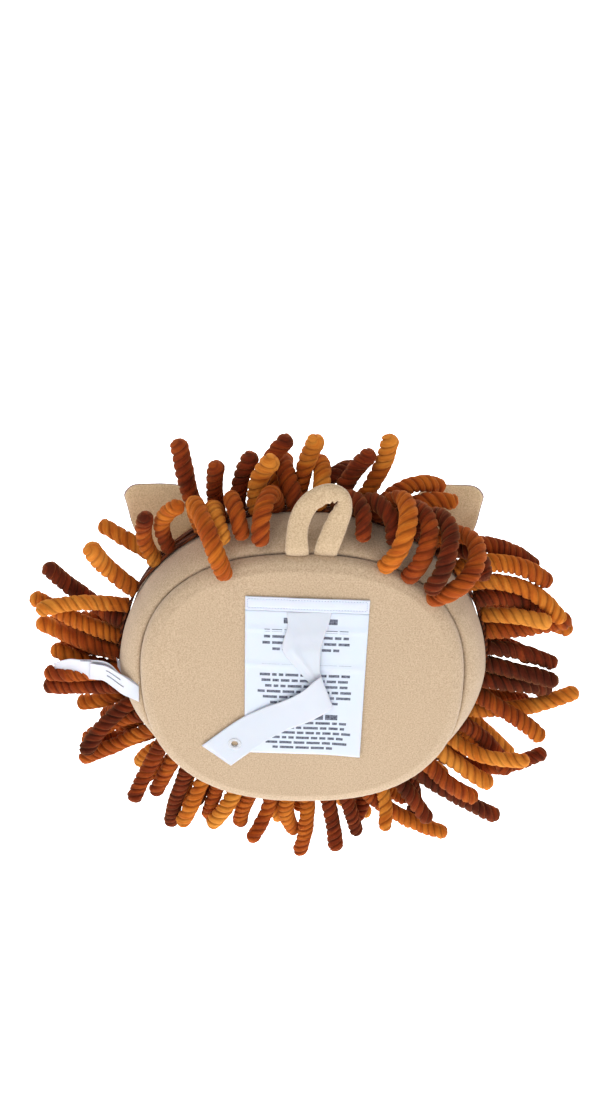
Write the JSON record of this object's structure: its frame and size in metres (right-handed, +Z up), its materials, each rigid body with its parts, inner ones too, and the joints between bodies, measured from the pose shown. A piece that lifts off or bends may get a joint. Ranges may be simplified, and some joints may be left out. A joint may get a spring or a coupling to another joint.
{
  "type": "plush lion head wall decoration",
  "caption": "Stuffed fleece lion head with yarn mane and soft ears that hangs flat on a wall from a fabric loop.",
  "frame": {"origin": "centre of the rear panel, in the plane of its back face, which lies on the wall", "axes": "+Z up as it hangs, +Y from the panel's back face into the wall (the face looks along -Y), +X across the head at its widest"},
  "size_m": [0.3757, 0.173, 0.3276],
  "materials": {
    "fleece": "matte",
    "ear_lining": "matte",
    "muzzle_fleece": "matte",
    "strap": "matte",
    "satin": "satin",
    "ribbon": "satin",
    "care_satin": "satin",
    "thread": "satin",
    "clear_plastic": "gloss",
    "board": "matte",
    "filling": "matte",
    "woven_tape": "matte",
    "yarn_dark": "matte",
    "yarn_light": "matte",
    "nose_felt": "matte",
    "eye_plastic": "gloss",
    "washer_plastic": "matte"
  },
  "bodies": {
    "head": {"back_panel": "fleece", "backing_board": "board", "side_gusset": "fleece", "face_panel": "fleece", "stuffing": "filling", "muzzle_left": "muzzle_fleece", "muzzle_right": "muzzle_fleece", "chin": "muzzle_fleece", "nose": "nose_felt", "eye_left": "eye_plastic", "eye_right": "eye_plastic", "eye_washer_left": "washer_plastic", "eye_washer_right": "washer_plastic", "label_header": "satin", "header_thread": "thread", "care_flap": "care_satin", "mane_tape_back": "woven_tape", "mane_tape_front": "woven_tape", "mane_back_01": "yarn_light", "mane_back_02": "yarn_light", "mane_back_03": "yarn_light", "mane_back_04": "yarn_light", "mane_back_05": "yarn_light", "mane_back_06": "yarn_light", "mane_back_07": "yarn_light", "mane_back_08": "yarn_light", "mane_back_09": "yarn_light", "mane_back_10": "yarn_light", "mane_back_11": "yarn_light", "mane_back_12": "yarn_light", "mane_front_01": "yarn_dark", "mane_front_02": "yarn_dark", "mane_front_03": "yarn_dark", "mane_front_04": "yarn_dark", "mane_front_05": "yarn_dark", "mane_front_06": "yarn_dark", "mane_front_07": "yarn_dark", "mane_front_08": "yarn_dark", "mane_front_09": "yarn_dark", "mane_front_10": "yarn_dark", "mane_front_11": "yarn_dark", "mane_front_12": "yarn_dark"},
    "loop": {"hanging_loop": "strap"},
    "label": {"back_label": "satin"},
    "strip": {"hang_strip": "ribbon", "strip_eyelet": "clear_plastic", "eyelet_washer": "clear_plastic"},
    "care_label": {"care_leaf_long": "care_satin", "care_leaf_short": "care_satin"},
    "left_ear": {"ear_left_back": "fleece", "ear_left_lining": "ear_lining"},
    "right_ear": {"ear_right_back": "fleece", "ear_right_lining": "ear_lining"}
  },
  "joints": [
    {"name": "loop_fold", "type": "hinge", "parent": "head", "child": "loop", "pos_m": [-0.008, -0.003, 0.0935], "axis": [-1, 0, 0], "range_deg": [-10, 75], "stiffness_Nm_per_rad": 0.004},
    {"name": "label_lift", "type": "hinge", "parent": "head", "child": "label", "pos_m": [-0.00358, 0.0004, 0.05667], "axis": [0.9995, 0, 0.0332], "range_deg": [0, 45]},
    {"name": "strip_lift", "type": "hinge", "parent": "label", "child": "strip", "pos_m": [-0.00358, 0.001, 0.05667], "axis": [0.9995, 0, 0.0332], "range_deg": [0, 65]},
    {"name": "care_label_swing", "type": "hinge", "parent": "head", "child": "care_label", "pos_m": [0.106, -0.007, -0.004], "axis": [0, 0, 1], "range_deg": [0, 68], "stiffness_Nm_per_rad": 0.001},
    {"name": "left_ear_tip", "type": "hinge", "parent": "head", "child": "left_ear", "pos_m": [0.08528, -0.08, 0.07606], "axis": [-0.7576, 0, 0.6527], "range_deg": [-8, 25], "stiffness_Nm_per_rad": 0.02},
    {"name": "right_ear_tip", "type": "hinge", "parent": "head", "child": "right_ear", "pos_m": [-0.08528, -0.08, 0.07606], "axis": [-0.7576, 0, -0.6527], "range_deg": [-8, 25], "stiffness_Nm_per_rad": 0.02}
  ]
}
